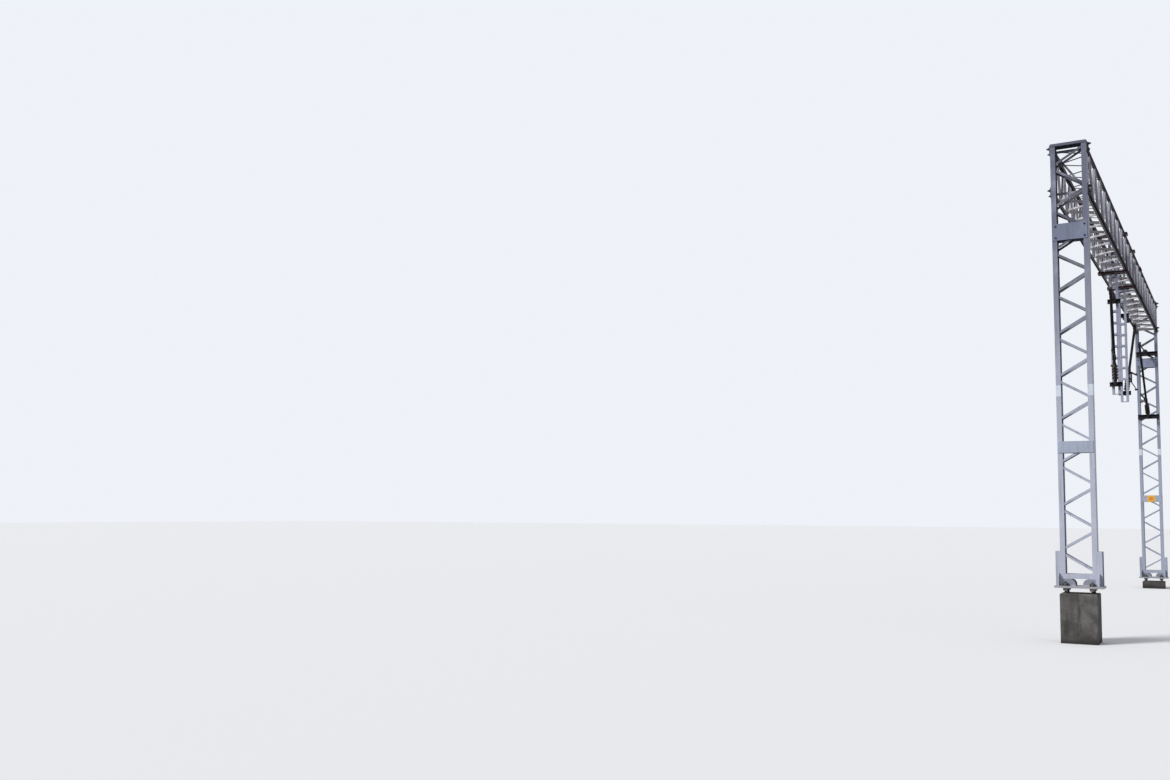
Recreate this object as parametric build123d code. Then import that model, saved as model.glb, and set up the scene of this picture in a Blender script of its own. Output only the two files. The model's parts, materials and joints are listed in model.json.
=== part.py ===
from build123d import *
import math
import os

# Layout of the portal. X runs along the beam, Y along the track and Z is up.
# The origin is the middle of the near pier's underside.
span = 17400.0
near_foot_z = 925.0
far_foot_z = 300.0
contact_wire_z = 5345.0
beam_clearance = 820.0
beam_depth = 810.0
mast_head = 65.0

# Concrete piers and the anchor bolts that level each mast
pier_width = 580.0
pier_chamfer = 12.0
levelling_gap = 90.0
bolt_spacing_y = 415.0
bolt_diameter = 42.0
bolt_hole_clearance = 2.0
bolt_end = 75.0
nut_flats = 75.0
nut_height = 36.0
washer_diameter = 100.0
washer_thickness = 10.0
washer_clearance = 5.0

# Mast: two rolled channels laced on both faces, with batten plates outside
mast_width = 580.0
mast_depth = 220.0
mast_flange = 80.0
mast_web = 9.0
mast_flange_thickness = 12.5
mast_root_radius = 11.0
lacing_start = 250.0
lacing_rise = 371.0
lacing_width = 40.0
lacing_thickness = 5.0
lacing_lap = 38.0
lacing_gap = 75.0
batten_thickness = 10.0
batten_edge = 14.0
near_middle_batten_rise = 2302.0
near_middle_batten_height = 198.0
near_upper_batten_drop = 552.0
near_upper_batten_height = 292.0
far_middle_batten_rise = 2280.0
far_middle_batten_height = 196.0
far_upper_batten_gap = 66.0
far_upper_batten_height = 276.0
cap_thickness = 8.0
cap_lip = 46.0

# Welded base of a mast
plate_margin = 10.0
plate_thickness = 35.0
ear_width = 75.0
ear_height = 585.0
ear_web = 9.0
ear_margin = 17.5
foot_rail_bottom = 120.0
foot_rail_height = 85.0
foot_rail_flange = 60.0
arch_opening = 116.0
arch_radius = 95.0
rib_thickness = 12.0
rib_height = 215.0
rib_shoulder = 80.0
rib_inset = 20.0

# Beam: four angle chords laced on all four sides
chord_leg = 65.0
chord_thickness = 7.0
chord_root_radius = 9.0
beam_panels = 40
brace_width = 45.0
brace_thickness = 5.0
brace_lap = 36.0
flat_brace_lap = 31.0
brace_gap = 75.0
brace_cope = 45.0
end_frame_thickness = 8.0
end_frame_leg = 45.0
end_frame_diagonal = 36.0
fishplate_length = 360.0
fishplate_rise = 80.0
fishplate_drop = 100.0
fishplate_thickness = 12.0
splice_height = 62.0
splice_panels = 26
splice_length = 420.0

# Drop posts that hang from the beam between the tracks
post_1_panels = 17
post_2_panels = 22
post_shift = 60.0
post_width = 175.0
post_depth = 100.0
post_flange = 50.0
post_web = 6.0
post_flange_thickness = 8.5
post_root_radius = 8.0
post_tail = 225.0
post_foot_thickness = 12.0
post_rung_rise = 270.0
post_rung_height = 50.0
post_rung_thickness = 8.0
head_height = 60.0
head_flange = 45.0
head_thickness = 7.0
head_overhang = 30.0

# Brackets and hinges of the cantilevers
hinge_drop = 195.0
hinge_spacing = 1910.0
post_bracket_height = 100.0
far_bracket_height = 130.0
bracket_depth = 60.0
bracket_wall = 8.0
post_bracket_width = 270.0
hinge_offset = 75.0
lug_width = 60.0
lug_thickness = 12.0
eye_height = 50.0
eye_radius = 26.0
eye_play = 0.4
pin_diameter = 24.0
pin_play = 0.5
pin_head = 14.0
pin_head_radius = 20.0

# Cantilevers: reach from the hinge line to the wires, and swing at rest in degrees
reach_1 = 1710.0
reach_2 = 1330.0
reach_3 = 2560.0
rest_angle_1 = 3.4
rest_angle_2 = -6.5
tip_drop = 110.0
tube_radius = 30.0
tie_radius = 17.0
neck_length = 78.0
neck_radius = 17.0
knuckle_radius = 27.0
knuckle_width = 46.0
shank_length = 55.0
shank_radius = 18.0
insulator_length = 400.0
insulator_core_radius = 34.0
shed_radius = 66.0
shed_rim = 7.0
shed_count = 5
insulator_cap_length = 62.0
insulator_cap_radius = 42.0
tip_head_length = 88.0
tip_head_width = 70.0
tip_head_height = 110.0
tip_head_round = 12.0
head_rise = 20.0
tie_lift = 50.0
knee_gap = 85.0
knee_length = 120.0
knee_wall = 9.0
steady_tube_radius = 21.0
steady_tube_overrun = 70.0
clip_size = 34.0
hanger_radius = 4.0
dropper_width = 34.0
dropper_foot_rise = 145.0
arm_share = 0.45
arm_radius = 11.0
contact_wire_radius = 6.0
contact_clamp_height = 40.0
messenger_radius = 7.0
saddle_height = 44.0
clamp_length = 80.0
clamp_width = 44.0

# Bare warning plate on the far mast
sign_width = 200.0
sign_edge = 3.0
sign_thickness = 3.0

# Places that follow from the sizes above
lower_hinge_z = contact_wire_z - hinge_drop
upper_hinge_z = lower_hinge_z + hinge_spacing
tip_z = upper_hinge_z - tip_drop
beam_bottom_z = tip_z + beam_clearance
beam_top_z = beam_bottom_z + beam_depth
beam_middle_z = (beam_top_z + beam_bottom_z) / 2
mast_top_z = beam_top_z + mast_head
half_width = mast_width / 2
beam_start = mast_depth / 2
beam_end = span - mast_depth / 2
panel = (beam_end - beam_start) / beam_panels
bolt_spacing_x = mast_depth + washer_diameter + 2 * washer_clearance
plate_depth = bolt_spacing_x + washer_diameter + 2 * plate_margin
plate_width = mast_width + 2 * (ear_width + ear_margin)
lug_gap = eye_height + 2 * eye_play
post_bottom_z = lower_hinge_z - post_tail


def save(name, shapes):
    """One STEP file holds the solids of one node."""
    os.makedirs("parts", exist_ok=True)
    solids = [solid for shape in shapes for solid in shape.solids()]
    export_step(Compound(children=solids), f"parts/{name}.step")


def node_x(index):
    """Place along the beam of one lattice node."""
    return beam_start + index * panel


def closed_face(points):
    """Flat face inside a closed outline of straight runs."""
    return make_face(Polyline(*points, close=True))


def bar(start, end, width, thickness, normal):
    """Flat bar whose back lies on the line from start to end and whose thickness goes along normal."""
    start, end = Vector(*start), Vector(*end)
    plane = Plane(origin=(start + end) / 2, x_dir=end - start, z_dir=Vector(*normal))
    align = (Align.CENTER, Align.CENTER, Align.MIN)
    return plane * Box((end - start).length, width, thickness, align=align)


def angle_bar(start, end, leg, thickness, normal, cope):
    """Rolled angle: one leg is bolted flat, the other stands off and is cut back at both ends."""
    start, end = Vector(*start), Vector(*end)
    length = (end - start).length
    low = (Align.CENTER, Align.MIN, Align.MIN)
    flat = Box(length, leg, thickness, align=low)
    standing = Box(length - 2 * cope, thickness, leg, align=low)
    plane = Plane(origin=(start + end) / 2, x_dir=end - start, z_dir=Vector(*normal))
    return plane * Pos(0, -leg / 2, 0) * (flat + standing)


def channel(depth, flange, web, thickness, root, length):
    """Upright rolled channel with its back on the XZ plane and its flanges towards -Y."""
    inner = depth / 2 - thickness
    outline = [
        (-depth / 2, 0),
        (depth / 2, 0),
        (depth / 2, -flange),
        (inner, -flange),
        (inner, -web),
        (-inner, -web),
        (-inner, -flange),
        (-depth / 2, -flange),
    ]
    section = closed_face(outline)
    roots = section.vertices().filter_by(lambda corner: abs(corner.Y + web) < thickness / 2)
    return extrude(fillet(roots, root), amount=length)


def rod(start, end, radius):
    """Round bar between two points."""
    plane = Plane(origin=start, z_dir=end - start)
    return plane * upright_cylinder(radius, (end - start).length)


def upright_cylinder(radius, height):
    """Cylinder that stands on the XY plane."""
    return Cylinder(radius, height, align=(Align.CENTER, Align.CENTER, Align.MIN))


def nut():
    """Hexagon nut that stands on the XY plane."""
    return extrude(RegularPolygon(nut_flats / 2, 6, major_radius=False), amount=nut_height)


def bolt_places():
    """Middles of the four anchor bolts of one mast."""
    half_x, half_y = bolt_spacing_x / 2, bolt_spacing_y / 2
    return [(x, y) for x in (-half_x, half_x) for y in (-half_y, half_y)]


def pier(foot_z):
    """Concrete pier under one mast, with its top edges broken."""
    low = (Align.CENTER, Align.CENTER, Align.MIN)
    block = Box(pier_width, pier_width, foot_z - levelling_gap, align=low)
    return chamfer(block.faces().sort_by(Axis.Z)[-1].edges(), pier_chamfer)


def anchor_bolts(foot_z):
    """Four threaded rods with a levelling nut under the base plate and a nut on top of it."""
    plate_top = foot_z + plate_thickness
    stem = Pos(0, 0, foot_z - levelling_gap) * upright_cylinder(
        bolt_diameter / 2, levelling_gap + plate_thickness + bolt_end
    )
    washer = upright_cylinder(washer_diameter / 2, washer_thickness)
    bolt = stem + Pos(0, 0, foot_z - washer_thickness - nut_height) * nut()
    bolt += Pos(0, 0, foot_z - washer_thickness) * washer
    bolt += Pos(0, 0, plate_top) * washer
    bolt += Pos(0, 0, plate_top + washer_thickness) * nut()
    return [Pos(x, y, 0) * bolt for x, y in bolt_places()]


def base_ribs():
    """Four upright ribs with a round shoulder, in front of and behind the ears."""
    run = (plate_depth - mast_depth) / 2 - rib_inset
    rib = Box(run, rib_thickness, rib_height, align=(Align.MIN, Align.CENTER, Align.MIN))
    shoulder = rib.edges().filter_by(Axis.Y).group_by(Axis.Z)[-1].sort_by(Axis.X)[-1]
    rib = fillet(shoulder, min(rib_shoulder, min(run, rib_height) - rib_thickness / 2))
    y = half_width + rib_inset + rib_thickness / 2
    ribs = []
    for side in (-1, 1):
        ribs.append(Pos(mast_depth / 2, side * y, 0) * rib)
        ribs.append(Pos(-mast_depth / 2, side * y, 0) * Rot(0, 0, 180) * rib)
    return ribs


def foot_rail(face_x, inward):
    """Cross rail between the channels with two round-shouldered plates under it."""
    half_gap = half_width - mast_flange
    low = (Align.MIN if inward > 0 else Align.MAX, Align.CENTER, Align.MIN)
    rail = Pos(face_x, 0, foot_rail_bottom) * Box(
        mast_flange_thickness, 2 * half_gap, foot_rail_height, align=low
    )
    shelf_z = foot_rail_bottom + foot_rail_height - batten_thickness
    shelf = Pos(face_x, 0, shelf_z) * Box(foot_rail_flange, 2 * half_gap, batten_thickness, align=low)
    shapes = [rail, shelf]
    wing_width = half_gap - arch_opening / 2
    round_limit = min(wing_width, foot_rail_bottom) - mast_flange_thickness
    for side in (-1, 1):
        wing = Pos(face_x, side * (arch_opening + wing_width) / 2, 0) * Box(
            mast_flange_thickness, wing_width, foot_rail_bottom, align=low
        )
        inner = wing.edges().filter_by(Axis.X).sort_by(lambda edge: abs(edge.center().Y))[:2]
        shapes.append(fillet(inner.sort_by(Axis.Z)[-1], min(arch_radius, round_limit)))
    return shapes


def mast_base(foot_z):
    """Base plate with the ears, ribs and foot rails welded to it."""
    low = (Align.CENTER, Align.CENTER, Align.MIN)
    plate = Box(plate_depth, plate_width, plate_thickness, align=low)
    hole = upright_cylinder(bolt_diameter / 2 + bolt_hole_clearance, plate_thickness)
    for x, y in bolt_places():
        plate -= Pos(x, y, 0) * hole
    ear = channel(mast_depth, ear_width, ear_web, mast_flange_thickness, mast_root_radius, ear_height)
    upright = [Pos(0, -half_width, 0) * ear, Pos(0, half_width, 0) * Rot(0, 0, 180) * ear]
    upright += base_ribs()
    upright += foot_rail(-mast_depth / 2, 1) + foot_rail(mast_depth / 2, -1)
    for shape in upright:
        plate += Pos(0, 0, plate_thickness) * shape
    return Pos(0, 0, foot_z) * plate


def mast_channels(foot_z):
    """The two upright channels of a mast, left one first."""
    bottom = foot_z + plate_thickness
    length = mast_top_z - cap_thickness - bottom
    side = channel(mast_depth, mast_flange, mast_web, mast_flange_thickness, mast_root_radius, length)
    return Pos(0, half_width, bottom) * side, Pos(0, -half_width, bottom) * Rot(0, 0, 180) * side


def lacing(first_z, last_z, first_side, face_x, normal_x):
    """Zigzag of angles behind the flanges of one face of a mast."""
    reach = half_width - mast_flange + lacing_lap
    bars = []
    z = first_z
    side = first_side
    while z + lacing_rise < last_z:
        start = (face_x, side * reach, z + lacing_gap / 2)
        end = (face_x, -side * reach, z + lacing_rise - lacing_gap / 2)
        bars.append(angle_bar(start, end, lacing_width, lacing_thickness, (normal_x, 0, 0), 0))
        z += lacing_rise
        side = -side
    return bars


def battens(bands):
    """Flat batten plates across the front and back of a mast, from bands of lowest and highest Z."""
    low = (Align.MIN, Align.CENTER, Align.MIN)
    width = mast_width - 2 * batten_edge
    plates = []
    for low_z, high_z in bands:
        plate = Box(batten_thickness, width, high_z - low_z, align=low)
        plates.append(Pos(mast_depth / 2, 0, low_z) * plate)
        plates.append(Pos(-mast_depth / 2 - batten_thickness, 0, low_z) * plate)
    return plates


def near_batten_bands():
    """Lowest and highest Z of the near mast's battens."""
    middle = near_foot_z + near_middle_batten_rise
    upper = beam_bottom_z - near_upper_batten_drop
    return (middle, middle + near_middle_batten_height), (upper - near_upper_batten_height, upper)


def far_batten_bands():
    """Lowest and highest Z of the far mast's battens, the upper one close under a bracket."""
    middle = far_foot_z + far_middle_batten_rise
    upper = upper_hinge_z - far_bracket_height / 2 - far_upper_batten_gap
    return (middle, middle + far_middle_batten_height), (upper - far_upper_batten_height, upper)


def mast_cap():
    """Folded plate that closes the top of a mast."""
    inner = mast_depth / 2
    outer = inner + cap_thickness
    outline = [
        (-outer, -cap_lip),
        (-outer, 0),
        (outer, 0),
        (outer, -cap_lip),
        (inner, -cap_lip),
        (inner, -cap_thickness),
        (-inner, -cap_thickness),
        (-inner, -cap_lip),
    ]
    return Pos(0, 0, mast_top_z) * extrude(Plane.XZ * closed_face(outline), amount=half_width, both=True)


def chord_levels():
    """Middle heights of the chords' upright legs, the lower one first."""
    return beam_bottom_z + chord_leg / 2, beam_top_z - chord_leg / 2


def splice_plates(x):
    """Four plates on the outer sides of the chords, over the joints in them."""
    plate = Box(
        splice_length, fishplate_thickness, splice_height, align=(Align.CENTER, Align.MIN, Align.CENTER)
    )
    plates = []
    for z in chord_levels():
        plates.append(Pos(x, half_width, z) * plate)
        plates.append(Pos(x, -half_width - fishplate_thickness, z) * plate)
    return plates


def fishplates(mast_x, into_beam):
    """Four tapered plates on the outer sides of a mast, which carry the ends of the chords."""
    back, bend = mast_x - into_beam * mast_depth / 2, mast_x + into_beam * mast_depth / 2
    tip = back + into_beam * fishplate_length
    plates = []
    for z in chord_levels():
        outline = [
            (back, z - fishplate_drop),
            (bend, z - fishplate_drop),
            (tip, z - splice_height / 2),
            (tip, z + splice_height / 2),
            (bend, z + fishplate_rise),
            (back, z + fishplate_rise),
        ]
        for side in (-1, 1):
            face = closed_face([(x, side * half_width, up) for x, up in outline])
            plates.append(extrude(face, amount=fishplate_thickness, dir=(0, side, 0)))
    return plates


def chord(side, top):
    """One rolled angle chord of the beam, with its corner outwards."""
    corner_z = beam_top_z if top else beam_bottom_z
    down = -1 if top else 1
    y, leg, wall = side * half_width, side * chord_leg, side * chord_thickness
    outline = [
        (y, corner_z),
        (y - leg, corner_z),
        (y - leg, corner_z + down * chord_thickness),
        (y - wall, corner_z + down * chord_thickness),
        (y - wall, corner_z + down * chord_leg),
        (y, corner_z + down * chord_leg),
    ]
    section = closed_face([(beam_start, y, z) for y, z in outline])
    root = Vertex(beam_start, y - wall, corner_z + down * chord_thickness)
    section = fillet(section.vertices().sort_by_distance(root)[0], chord_root_radius)
    return extrude(section, amount=beam_end - beam_start, dir=(1, 0, 0))


def side_lattice(side):
    """Zigzag of angles on the inside of the chords' upright legs."""
    face_y = side * (half_width - chord_thickness)
    low_z = beam_bottom_z + chord_leg - brace_lap
    high_z = beam_top_z - chord_leg + brace_lap
    cope = brace_lap + brace_cope
    bars = []
    for index in range(beam_panels):
        start_z, end_z = (low_z, high_z) if index % 2 == 0 else (high_z, low_z)
        start = (node_x(index) + brace_gap / 2, face_y, start_z)
        end = (node_x(index + 1) - brace_gap / 2, face_y, end_z)
        bars.append(angle_bar(start, end, brace_width, brace_thickness, (0, -side, 0), cope))
    return bars


def level_runs(face_z, first_side):
    """Start and end of each bar of a zigzag on the inside of the chords' level legs."""
    reach = half_width - chord_leg + flat_brace_lap
    runs = []
    for index in range(beam_panels):
        side = first_side if index % 2 == 0 else -first_side
        start = (node_x(index) + brace_gap / 2, side * reach, face_z)
        end = (node_x(index + 1) - brace_gap / 2, -side * reach, face_z)
        runs.append((start, end))
    return runs


def top_lattice():
    """Zigzag of flats under the top chords."""
    runs = level_runs(beam_top_z - chord_thickness, 1)
    return [bar(start, end, brace_width, brace_thickness, (0, 0, -1)) for start, end in runs]


def bottom_lattice():
    """Zigzag of angles on the bottom chords, with their standing legs upwards."""
    runs = level_runs(beam_bottom_z + chord_thickness, -1)
    cope = flat_brace_lap + brace_cope
    return [angle_bar(start, end, brace_width, brace_thickness, (0, 0, 1), cope) for start, end in runs]


def end_frame(face_x, toward_beam):
    """Rectangle of flats with one diagonal that closes an end of the beam."""
    inner = half_width - chord_thickness
    height = beam_depth - 2 * chord_thickness
    plane = Plane(origin=(face_x, 0, beam_middle_z), x_dir=(0, 1, 0), z_dir=(toward_beam, 0, 0))
    outer = Rectangle(2 * inner, height)
    frame = chamfer(outer.vertices(), chord_root_radius)
    frame -= Rectangle(2 * (inner - end_frame_leg), height - 2 * end_frame_leg)
    reach_y, reach_z = inner - end_frame_leg / 2, (height - end_frame_leg) / 2
    diagonal = Rot(0, 0, math.degrees(math.atan2(reach_z, reach_y)))
    frame += diagonal * Rectangle(2 * math.hypot(reach_y, reach_z), end_frame_diagonal)
    return plane * extrude(frame, amount=end_frame_thickness)


def head_bar(post_x, side, z):
    """One channel across the beam, with its back against a post."""
    length = mast_width + 2 * head_overhang
    back = post_x + side * post_depth / 2
    outline = [
        (0, 0),
        (head_flange, 0),
        (head_flange, head_thickness),
        (head_thickness, head_thickness),
        (head_thickness, head_height - head_thickness),
        (head_flange, head_height - head_thickness),
        (head_flange, head_height),
        (0, head_height),
    ]
    section = closed_face([(back + side * x, -length / 2, z + up) for x, up in outline])
    return extrude(section, amount=length, dir=(0, 1, 0))


def head_bars(post_x):
    """Four bars that hold a post: a pair over the beam and a pair under it."""
    heights = (beam_top_z, beam_bottom_z - head_height)
    return [head_bar(post_x, side, z) for side in (-1, 1) for z in heights]


def drop_post(x):
    """Two channels joined by rungs, with a plate that closes the foot."""
    bottom = post_bottom_z + post_foot_thickness
    length = beam_top_z + head_height - bottom
    side = channel(post_depth, post_flange, post_web, post_flange_thickness, post_root_radius, length)
    post = Pos(0, post_width / 2, bottom) * side
    post += Pos(0, -post_width / 2, bottom) * Rot(0, 0, 180) * side
    low = (Align.CENTER, Align.CENTER, Align.MIN)
    post += Pos(0, 0, post_bottom_z) * Box(post_depth, post_width, post_foot_thickness, align=low)
    rung = Box(post_depth + 2 * post_rung_thickness, post_width, post_rung_height, align=low)
    rung -= Box(post_depth, post_width, post_rung_height, align=low)
    z = post_bottom_z + post_rung_rise
    while z + post_rung_height < beam_bottom_z - head_height:
        if clear_of_brackets(z + post_rung_height / 2):
            post += Pos(0, 0, z) * rung
        z += post_rung_rise
    return Pos(x, 0, 0) * post


def clear_of_brackets(rung_z):
    """Whether a rung with its middle at this height misses both brackets of a post."""
    reach = (post_bracket_height + post_rung_height) / 2
    return all(abs(rung_z - level) > reach for level in (lower_hinge_z, upper_hinge_z))


def bracket(face_x, out, z, width, height):
    """Open channel with its back on a face at face_x, with two lugs and a fixed upright pin."""
    low = (Align.MIN, Align.CENTER, Align.CENTER)
    hollow = (bracket_depth - bracket_wall, width, height - 2 * bracket_wall)
    shape = Box(bracket_depth, width, height, align=low) - Pos(bracket_wall, 0, 0) * Box(*hollow, align=low)
    axis = bracket_depth + hinge_offset
    lug = Pos(bracket_wall, 0, 0) * Box(
        axis - bracket_wall, lug_width, lug_thickness, align=(Align.MIN, Align.CENTER, Align.MIN)
    )
    lug += Pos(axis, 0, 0) * upright_cylinder(lug_width / 2, lug_thickness)
    shape += Pos(0, 0, lug_gap / 2) * lug
    shape += Pos(0, 0, -lug_gap / 2 - lug_thickness) * lug
    pin_height = lug_gap + 2 * lug_thickness + 2 * pin_head
    shape += Pos(axis, 0, 0) * Cylinder(pin_diameter / 2, pin_height)
    head = upright_cylinder(pin_head_radius, pin_head)
    shape += Pos(axis, 0, lug_gap / 2 + lug_thickness) * head
    shape += Pos(axis, 0, -lug_gap / 2 - lug_thickness - pin_head) * head
    turn = 0 if out > 0 else 180
    return Pos(face_x, 0, z) * Rot(0, 0, turn) * shape


def insulator_body():
    """Metal caps and a core with round sheds, which stands on the XY plane."""
    pitch = insulator_length / shed_count
    rim_start = (pitch - shed_rim) / 2
    outline = [(0, 0), (insulator_cap_radius, 0), (insulator_cap_radius, insulator_cap_length)]
    for index in range(shed_count):
        low = insulator_cap_length + index * pitch
        outline += [
            (insulator_core_radius, low),
            (insulator_core_radius, low + rim_start / 2),
            (shed_radius, low + rim_start),
            (shed_radius, low + rim_start + shed_rim),
        ]
    core_end = insulator_cap_length + insulator_length
    outline += [
        (insulator_core_radius, core_end),
        (insulator_cap_radius, core_end),
        (insulator_cap_radius, core_end + insulator_cap_length),
        (0, core_end + insulator_cap_length),
    ]
    return revolve(Plane.XZ * closed_face(outline), Axis.Z)


def insulator(eye_at, out, toward):
    """Hinge eye, neck, knuckle and insulator aimed at the point it carries, with its end and aim."""
    knuckle = Vector(eye_at.X + out * neck_length, eye_at.Y, eye_at.Z)
    aim = (toward - knuckle).normalized()
    start = knuckle + aim * shank_length
    shape = Plane(origin=start, z_dir=aim) * insulator_body()
    shape += rod(knuckle, start, shank_radius)
    shape += Pos(knuckle) * Rot(90, 0, 0) * Cylinder(knuckle_radius, knuckle_width)
    shape += rod(eye_at, knuckle, neck_radius)
    shape += Pos(eye_at) * Cylinder(eye_radius, eye_height)
    shape -= Pos(eye_at) * Cylinder(pin_diameter / 2 + pin_play, eye_height)
    return shape, start + aim * (insulator_length + 2 * insulator_cap_length), aim


def tip_head(middle, out):
    """Cast head where the strut, the tie and the messenger's saddle meet, round on its free side."""
    head = Box(tip_head_length, tip_head_width, tip_head_height)
    head = fillet(head.edges().filter_by(Axis.Y).sort_by(Axis.X)[-2:], tip_head_round)
    return Pos(middle) * Rot(0, 0, 0 if out > 0 else 180) * head


def wire_clamp(wire_at, below, above, radius):
    """Block with a bore or groove along the track for one wire."""
    block = Box(clamp_width, clamp_length, below + above, align=(Align.CENTER, Align.CENTER, Align.MIN))
    wire = Rot(90, 0, 0) * Cylinder(radius, clamp_length)
    return Pos(wire_at) * (Pos(0, 0, -below) * block - wire)


def steady_arm(at, reach, knee, head_under, strut, contact_clamp):
    """Level tube from the strut, its hanger, and the light arm that holds the contact wire."""
    low = (Align.CENTER, Align.CENTER, Align.MIN)
    arm = rod(knee, at(reach + steady_tube_overrun, knee.Z), steady_tube_radius) - strut
    hanger_s = reach + tip_head_length / 4
    arm += Pos(at(hanger_s, knee.Z)) * Box(clip_size, clip_size, clip_size, align=low)
    arm += rod(at(hanger_s, knee.Z), at(hanger_s, head_under), hanger_radius)
    dropper_s = reach * (1 - arm_share)
    dropper_foot = contact_wire_z + dropper_foot_rise
    arm += Pos(at(dropper_s, dropper_foot)) * Box(
        dropper_width, dropper_width, knee.Z - dropper_foot, align=low
    )
    light_start = at(dropper_s, dropper_foot + arm_radius)
    light_end = at(reach, contact_wire_z + contact_clamp_height / 2 + contact_wire_radius)
    return arm + (rod(light_start, light_end, arm_radius) - contact_clamp)


def cantilever(axis_x, out, reach, turn):
    """The pieces of one cantilever by name, built square to the track and then swung to its rest."""

    def at(s, z):
        return Vector(axis_x + out * s, 0, z)

    head_z = tip_z + head_rise
    head = tip_head(at(reach, head_z), out)
    strut_end, tie_end = at(reach, tip_z), at(reach, tip_z + tie_lift)
    lower, strut_start, strut_aim = insulator(at(0, lower_hinge_z), out, strut_end)
    upper, tie_start, _ = insulator(at(0, upper_hinge_z), out, tie_end)
    knee_start = strut_start + strut_aim * knee_gap
    knee_end = knee_start + strut_aim * knee_length
    strut = rod(strut_start, strut_end, tube_radius) + head
    strut += rod(knee_start, knee_end, tube_radius + knee_wall)
    saddle_z = head_z + (tip_head_height + saddle_height) / 2
    saddle = wire_clamp(at(reach, saddle_z), saddle_height / 2, saddle_height / 2, messenger_radius)
    contact_clamp = wire_clamp(at(reach, contact_wire_z), 0, contact_clamp_height, contact_wire_radius)
    knee = (knee_start + knee_end) / 2
    arm = steady_arm(at, reach, knee, head_z - tip_head_height / 2, strut, contact_clamp)
    pieces = {
        "insulators": [lower, upper],
        "strut": [strut],
        "tie": [rod(tie_start, tie_end, tie_radius) - head],
        "steady_arm": [arm],
        "wire_clamps": [saddle, contact_clamp],
    }
    swing = Pos(axis_x, 0, 0) * Rot(0, 0, turn) * Pos(-axis_x, 0, 0)
    return {name: [swing * shape for shape in shapes] for name, shapes in pieces.items()}


def warning_plate():
    """Small bare plate on the middle batten of the far mast."""
    low_z, high_z = far_batten_bands()[0]
    height = high_z - low_z - 2 * sign_edge
    face = span - mast_depth / 2 - batten_thickness
    plate = Box(sign_thickness, sign_width, height, align=(Align.MAX, Align.CENTER, Align.MIN))
    return Pos(face, 0, low_z + sign_edge) * plate


def save_mast(name, x, foot_z, first_side, bands):
    """The nodes of one mast."""
    here = Pos(x, 0, 0)
    inner = mast_depth / 2 - mast_flange_thickness
    first_z, last_z = foot_z + lacing_start, mast_top_z - cap_thickness
    save(f"{name}_pier", [here * pier(foot_z)])
    save(f"{name}_anchor_bolts", [here * bolt for bolt in anchor_bolts(foot_z)])
    save(f"{name}_base", [here * mast_base(foot_z)])
    save(f"{name}_channels", [here * side for side in mast_channels(foot_z)])
    front = lacing(first_z, last_z, first_side, -inner, 1)
    back = lacing(first_z, last_z, first_side, inner, -1)
    save(f"{name}_front_lacing", [here * angle for angle in front])
    save(f"{name}_back_lacing", [here * angle for angle in back])
    save(f"{name}_battens", [here * plate for plate in battens(bands)])


def save_beam():
    """The nodes of the beam."""
    for name, side in (("left", 1), ("right", -1)):
        save(f"beam_{name}_chords", [chord(side, False), chord(side, True)])
        save(f"beam_{name}_lattice", side_lattice(side))
    save("beam_top_lattice", top_lattice())
    save("beam_bottom_lattice", bottom_lattice())
    save("beam_end_frames", [end_frame(beam_start, 1), end_frame(beam_end, -1)])
    save("beam_splices", splice_plates(node_x(splice_panels) + panel / 2))
    save("beam_fishplates", fishplates(0, 1) + fishplates(span, -1))


def save_posts_and_brackets():
    """The drop posts and every bracket, with the face and direction of each cantilever."""
    first_x, second_x = node_x(post_1_panels) + post_shift, node_x(post_2_panels) - post_shift
    first_face, second_face = first_x - post_depth / 2, second_x + post_depth / 2
    save("drop_post_1", [drop_post(first_x)])
    save("drop_post_2", [drop_post(second_x)])
    save("post_head_bars", head_bars(first_x) + head_bars(second_x))
    post_brackets, far_brackets = [], []
    for z in (lower_hinge_z, upper_hinge_z):
        post_brackets.append(bracket(first_face, -1, z, post_bracket_width, post_bracket_height))
        post_brackets.append(bracket(second_face, 1, z, post_bracket_width, post_bracket_height))
        far_brackets.append(bracket(beam_end, -1, z, mast_width, far_bracket_height))
    save("post_brackets", post_brackets)
    save("far_brackets", far_brackets)
    return (first_face, -1), (second_face, 1), (beam_end, -1)


def main():
    save_mast("near", 0, near_foot_z, -1, near_batten_bands())
    save_mast("far", span, far_foot_z, 1, far_batten_bands())
    save("mast_caps", [mast_cap(), Pos(span, 0, 0) * mast_cap()])
    save("far_warning_plate", [warning_plate()])
    save_beam()
    reaches = ((reach_1, rest_angle_1), (reach_2, rest_angle_2), (reach_3, 0))
    for index, (face_x, out) in enumerate(save_posts_and_brackets()):
        reach, turn = reaches[index]
        axis_x = face_x + out * (bracket_depth + hinge_offset)
        for name, shapes in cantilever(axis_x, out, reach, turn).items():
            save(f"{name}_{index + 1}", shapes)


main()
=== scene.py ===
import bmesh
import bpy
import json
import math
from mathutils import Matrix, Vector


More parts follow.
